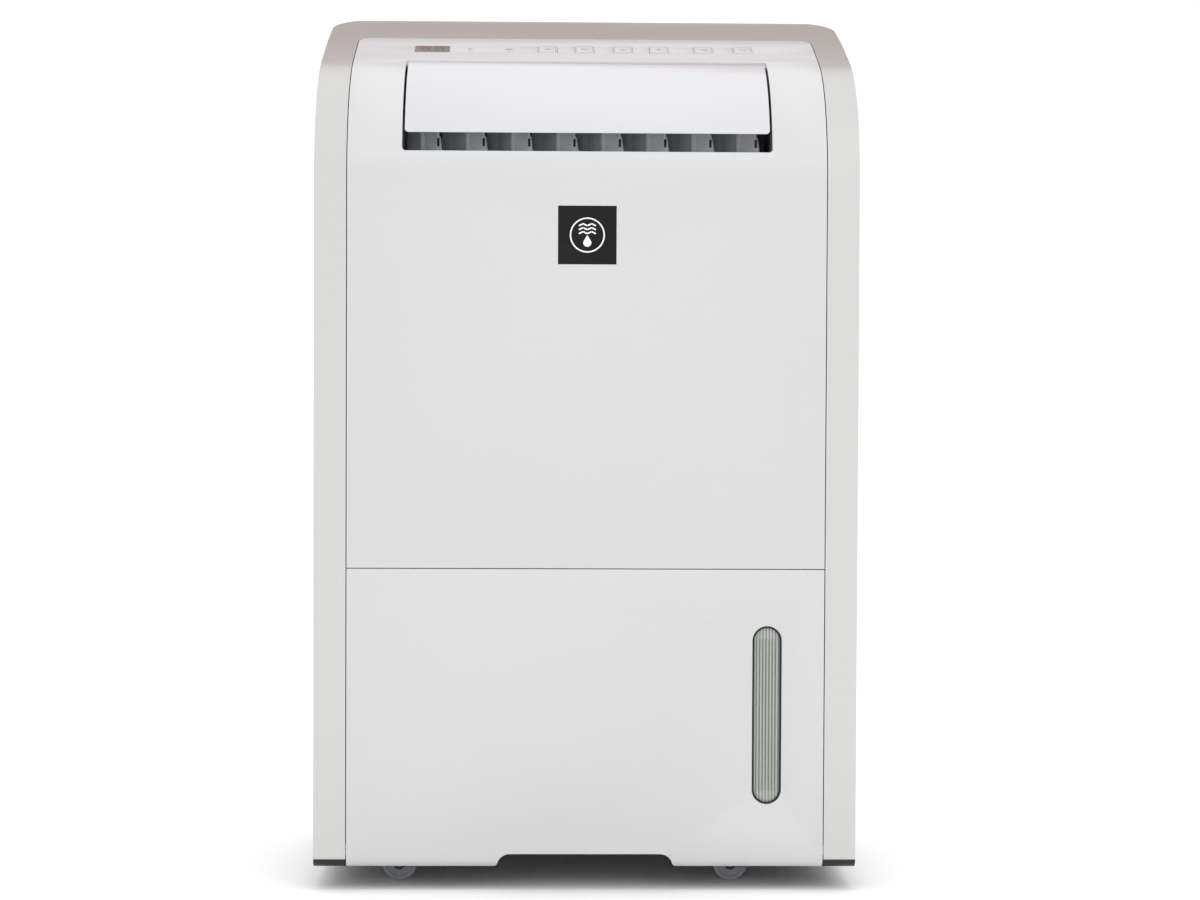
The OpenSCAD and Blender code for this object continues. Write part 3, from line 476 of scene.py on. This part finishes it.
def drawClock(bm):
    s = clockIcon
    flatDisc(bm, s["radius"], line=s["line"])
    flatPatch(bm, s["line"], s["longHand"], 0, s["longMiddle"])
    flatPatch(bm, s["shortHand"], s["line"], s["shortMiddle"], 0)


wavesIcon = {
    "rows": (-1.3, 0, 1.3), "places": (-1.8, -0.6, 0.6, 1.8), "lean": 30, "length": 1.45, "line": 0.32,
    "corner": 0}


def drawWaves(bm, s=wavesIcon):
    # each row is a zigzag of short strokes, which lean to and fro
    for y in s["rows"]:
        for i, x in enumerate(s["places"]):
            flatPatch(bm, s["length"], s["line"], x, y, s["lean"] * (-1) ** i, corner=s["corner"])


swingIcon = {
    "line": 0.35, "turns": (-28, 0, 28), "length": 3.6, "across": 2.1, "up": 1.9, "down": 2.2,
    "bar": 4.6, "barDown": 2.6}


def drawSwing(bm):
    s = swingIcon
    for turn in s["turns"]:
        a = math.radians(turn)
        flatPatch(bm, s["line"], s["length"], s["across"] * math.sin(a), s["up"] * math.cos(a) - s["down"], -turn)
    flatPatch(bm, s["bar"], s["line"], 0, -s["barDown"])


powerIcon = {
    "line": 0.42, "strokes": 11, "start": 130, "step": 28, "stroke": 1.15, "radius": 2.1,
    "stem": 2.4, "stemMiddle": 1.7}


def drawPower(bm):
    s = powerIcon
    for i in range(s["strokes"]):
        turn = s["start"] + i * s["step"]
        a = math.radians(turn)
        flatPatch(bm, s["stroke"], s["line"], s["radius"] * math.cos(a), s["radius"] * math.sin(a), turn + 90)
    flatPatch(bm, s["line"], s["stem"], 0, s["stemMiddle"])


# how far across the row each key's print sits, in the order of the keys
keyPrints = (
    (-26.4, drawFan), (-0.8, drawWaves), (25.8, drawSwing), (50.7, drawDrop), (81.6, drawClock),
    (108.8, drawPower))
keyOutline = {"width": 11.4, "height": 17.2, "corner": 1.6, "line": 0.22}
for i, (x, draw) in enumerate(keyPrints, 1):
    bm = bmesh.new()
    draw(bm)
    flatPatch(bm, **keyOutline)
    thicken(bm, controlRow["ink"])
    keepPiece(f"buttonPrint_{i}", bm, f"button_{i}", iconInk, slopePlace(x, controlRow["proud"]))

lampDot = {"radius": 0.7, "y": -5}
for label, x, draw in (("tankFullMark", -80, drawDrop), ("defrostMark", -53, drawWaves)):
    bm = bmesh.new()
    draw(bm)
    flatDisc(bm, **lampDot)
    thicken(bm, controlRow["ink"])
    keepPiece(label, bm, "cabinet", iconInk, slopePlace(x, controlRow["markLift"]))

displaySet = {
    "x": -106, "lift": 0.01, "ink": 0.03, "digits": (-4.6, 4.6), "line": 0.8,
    "barRows": (-4.4, 0, 4.4), "bar": 4.2, "postSides": (-2.5, 2.5), "postRows": (-2.2, 2.2), "post": 3.4}
bm = bmesh.new()
for digit in displaySet["digits"]:
    for y in displaySet["barRows"]:
        flatPatch(bm, displaySet["bar"], displaySet["line"], digit, y)
    for side in displaySet["postSides"]:
        for y in displaySet["postRows"]:
            flatPatch(bm, displaySet["line"], displaySet["post"], digit + side, y)
thicken(bm, displaySet["ink"])
displayPlace = slopePlace(displaySet["x"], displaySet["lift"])
keepPiece("displaySegments", bm, "cabinet", segmentInk, displayPlace)


def frontPlace(low, high, y):
    # the middle of a box, facing the front at depth y
    middle = (low + high) / 2
    return Matrix.Translation((middle.x, y, middle.z)) @ Matrix.Rotation(math.radians(90), 4, "X")


# three waves of air over a drop, in a plain ring
badgeSet = {
    "ring": 11.6, "ringLine": 0.9, "drop": 2.7, "narrowing": 0.75, "stretch": 2.2, "dropDown": 5,
    "ink": 0.05, "lift": 0.01}
badgeWaves = {
    "rows": (1.6, 4.2, 6.8), "places": (-4.2, -1.4, 1.4, 4.2), "lean": 26, "length": 3.2, "line": 0.95,
    "corner": 0.4}
badgeLow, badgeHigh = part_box("badge")
bm = bmesh.new()
flatDisc(bm, badgeSet["ring"], line=badgeSet["ringLine"])
drop = bmesh.ops.create_circle(bm, cap_ends=True, segments=discSegments, radius=badgeSet["drop"])["verts"]
for v in drop:
    # the upper half is drawn up into the drop's point
    rise = max(v.co.y, 0) / badgeSet["drop"]
    bmesh.ops.scale(bm, vec=(1 - badgeSet["narrowing"] * rise ** 2, 1, 1), verts=[v])
    bmesh.ops.translate(bm, vec=(0, badgeSet["stretch"] * rise ** 2 - badgeSet["dropDown"], 0), verts=[v])
drawWaves(bm, badgeWaves)
thicken(bm, badgeSet["ink"])
badgePlace = frontPlace(badgeLow, badgeHigh, badgeLow.y - badgeSet["lift"] * mm)
keepPiece("badgePrint", bm, "cabinet", badgePrint, badgePlace)
print("prints made")

# a thin dark gasket lines the edge of the level window
gasketSet = {"width": 0.9, "depth": 1.2, "inset": 0.12, "behind": 0.5, "segments": 48, "midBand": 0.01}
paneLow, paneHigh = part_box("tank_window")
paneWidth, paneHeight = (paneHigh.x - paneLow.x) / mm, (paneHigh.z - paneLow.z) / mm
bm = bmesh.new()
loop = bmesh.ops.create_circle(
    bm, cap_ends=True, segments=gasketSet["segments"], radius=paneWidth / 2 - gasketSet["inset"])["verts"]
for way in (-1, 1):
    # each half of the circle moves to its own end of the pane
    half = [v for v in loop if v.co.y * way > gasketSet["midBand"]]
    bmesh.ops.translate(bm, vec=(0, way * (paneHeight - paneWidth) / 2, 0), verts=half)
leaveRim(bm, loop[0].link_faces[0], gasketSet["width"])
thicken(bm, gasketSet["depth"])
gasketPlace = frontPlace(paneLow, paneHigh, frontY + (gasketSet["behind"] + gasketSet["depth"]) * mm)
keepPiece("windowGasket", bm, "tank", rubberBlack, gasketPlace)
print("gasket made")

# a dark hook stands on each vane where the linking bar clips on, and a thin tail runs back into the duct
vaneSet = {
    "count": 8, "turn": 48,
    "hookSize": (2.6, 1.8, 5.2), "hookReach": 15.2, "hookHeight": 10, "hookSoft": 0.3,
    "toeFrom": 1.2, "toe": (1.4, 0, -1.2),
    "tailSize": (1.4, 10.5, 28), "tailStart": 13.6, "tailFoot": 2, "tailTaper": (0.5, 1, 0.9), "tailSoft": 0.25}


def softCube(bm, soft):
    bmesh.ops.bevel(bm, geom=list(bm.edges), offset=soft, segments=2, profile=0.5, affect="EDGES", material=-1)


def vanePlace(i, reach, rise):
    # reach is measured along the blade from its pivot, towards the front
    pin = Vector(joints[f"vane_{i}_hinge"]["pos_m"])
    low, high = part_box(f"vane_{i}")
    turn = Matrix.Rotation(math.radians(vaneSet["turn"]), 4, "Z")
    return Matrix.Translation((pin.x, pin.y, low.z + rise * mm)) @ turn @ Matrix.Translation((0, -reach * mm, 0))


for i in range(1, vaneSet["count"] + 1):
    bm = bmesh.new()
    bmesh.ops.create_cube(bm, size=1, matrix=Matrix.Diagonal((*vaneSet["hookSize"], 1)))
    toe = [v for v in bm.verts if v.co.x > vaneSet["toeFrom"] and v.co.z < 0]
    bmesh.ops.translate(bm, vec=vaneSet["toe"], verts=toe)
    softCube(bm, vaneSet["hookSoft"])
    hookPlace = vanePlace(i, vaneSet["hookReach"], vaneSet["hookHeight"])
    keepPiece(f"vaneHook_{i}", bm, f"vane_{i}", hookAbs, hookPlace)
    if i > 1:
        # the first vane has none, because its tail would meet the duct's cheek
        bm = bmesh.new()
        bmesh.ops.create_cube(bm, size=1, matrix=Matrix.Diagonal((*vaneSet["tailSize"], 1)))
        rear = [v for v in bm.verts if v.co.y > 0]
        bmesh.ops.scale(bm, vec=vaneSet["tailTaper"], verts=rear)
        softCube(bm, vaneSet["tailSoft"])
        tailLength, tailHeight = vaneSet["tailSize"][1:]
        tailPlace = vanePlace(i, -vaneSet["tailStart"] - tailLength / 2, vaneSet["tailFoot"] + tailHeight / 2)
        keepPiece(f"vaneTail_{i}", bm, f"vane_{i}", vaneAbs, tailPlace)
print("vane hooks and tails made")


def stagePlane(name, halfSize, place, paint):
    bm = bmesh.new()
    bmesh.ops.create_grid(bm, x_segments=1, y_segments=1, size=halfSize)
    bmesh.ops.transform(bm, matrix=place, verts=bm.verts)
    data = bpy.data.meshes.new(name)
    bm.to_mesh(data)
    bm.free()
    data.materials.append(paint)
    plane = bpy.data.objects.new(name, data)
    bpy.context.collection.objects.link(plane)
    return plane


# matt paper under the cabinet: a white sweep that only takes its soft shadow
floorSet = {"halfSize": 30, "tone": "#FAFAFA"}
floorPaint = moulded(
    "paperSweepMatt", floorSet["tone"], {"Roughness": 0.9, "Specular IOR Level": 0.1},
    grain=4, depth=0.01, mottle=0.01)
floor = stagePlane("studioFloor", floorSet["halfSize"], Matrix.Identity(4), floorPaint)

# places, aims and sizes in metres, powers in watts
lamps = (
    {"name": "keySoftbox", "place": (1.6, -2.2, 2.0), "aim": (0, 0, 0.35), "size": 1.6, "power": 5},
    {"name": "fillSoftbox", "place": (-2.0, -2.0, 1.2), "aim": (0, 0, 0.3), "size": 1.6, "power": 1},
    {"name": "topSoftbox", "place": (0, -0.3, 2.4), "aim": (0, 0, 0.6), "size": 1.2, "power": 9, "inGloss": False},
    {"name": "lowSoftbox", "place": (0, -2.6, 0.25), "aim": (0, 0, 0.1), "size": 1.0, "power": 4, "inGloss": False},
    {"name": "sideStrip", "place": (2.6, -1.9, 0.9), "aim": (0.15, 0, 0.4), "size": 1.4, "power": 9,
     "inDiffuse": False})


def areaLight(name, place, aim, size, power, inGloss=True, inDiffuse=True):
    data = bpy.data.lights.new(name, "AREA")
    data.shape, data.size, data.energy = "SQUARE", size, power
    lamp = bpy.data.objects.new(name, data)
    lamp.location = place
    lamp.rotation_euler = (Vector(aim) - Vector(place)).to_track_quat("-Z", "Y").to_euler()
    lamp.visible_glossy, lamp.visible_diffuse = inGloss, inDiffuse
    bpy.context.collection.objects.link(lamp)


for lampSet in lamps:
    areaLight(**lampSet)

# a dusky card high behind the cabinet, which only shows as a reflection in the silver top bar
cardSet = {"halfSize": 1, "place": (0, 3.2, 2.9), "tip": 70, "stretch": (3.2, 1.5, 1, 1), "tone": "#7A4642"}
cardPlace = (
    Matrix.Translation(cardSet["place"]) @ Matrix.Rotation(math.radians(cardSet["tip"]), 4, "X")
    @ Matrix.Diagonal(cardSet["stretch"]))
cardPaint = moulded("cardRoseMatt", cardSet["tone"], {"Roughness": 0.9}, grain=4, depth=0.01, mottle=0.02)
card = stagePlane("reflectionCard", cardSet["halfSize"], cardPlace, cardPaint)
card.visible_camera = False
card.visible_diffuse = False

worldSet = {"colour": (1, 1, 1, 1), "strength": 1.15}
world = bpy.data.worlds.new("studioWorld")
bpy.context.scene.world = world
world.use_nodes = True
sky = world.node_tree.nodes["Background"]
sky.inputs["Color"].default_value = worldSet["colour"]
sky.inputs["Strength"].default_value = worldSet["strength"]
bpy.context.scene.view_settings.view_transform = "Standard"
print("studio lit")
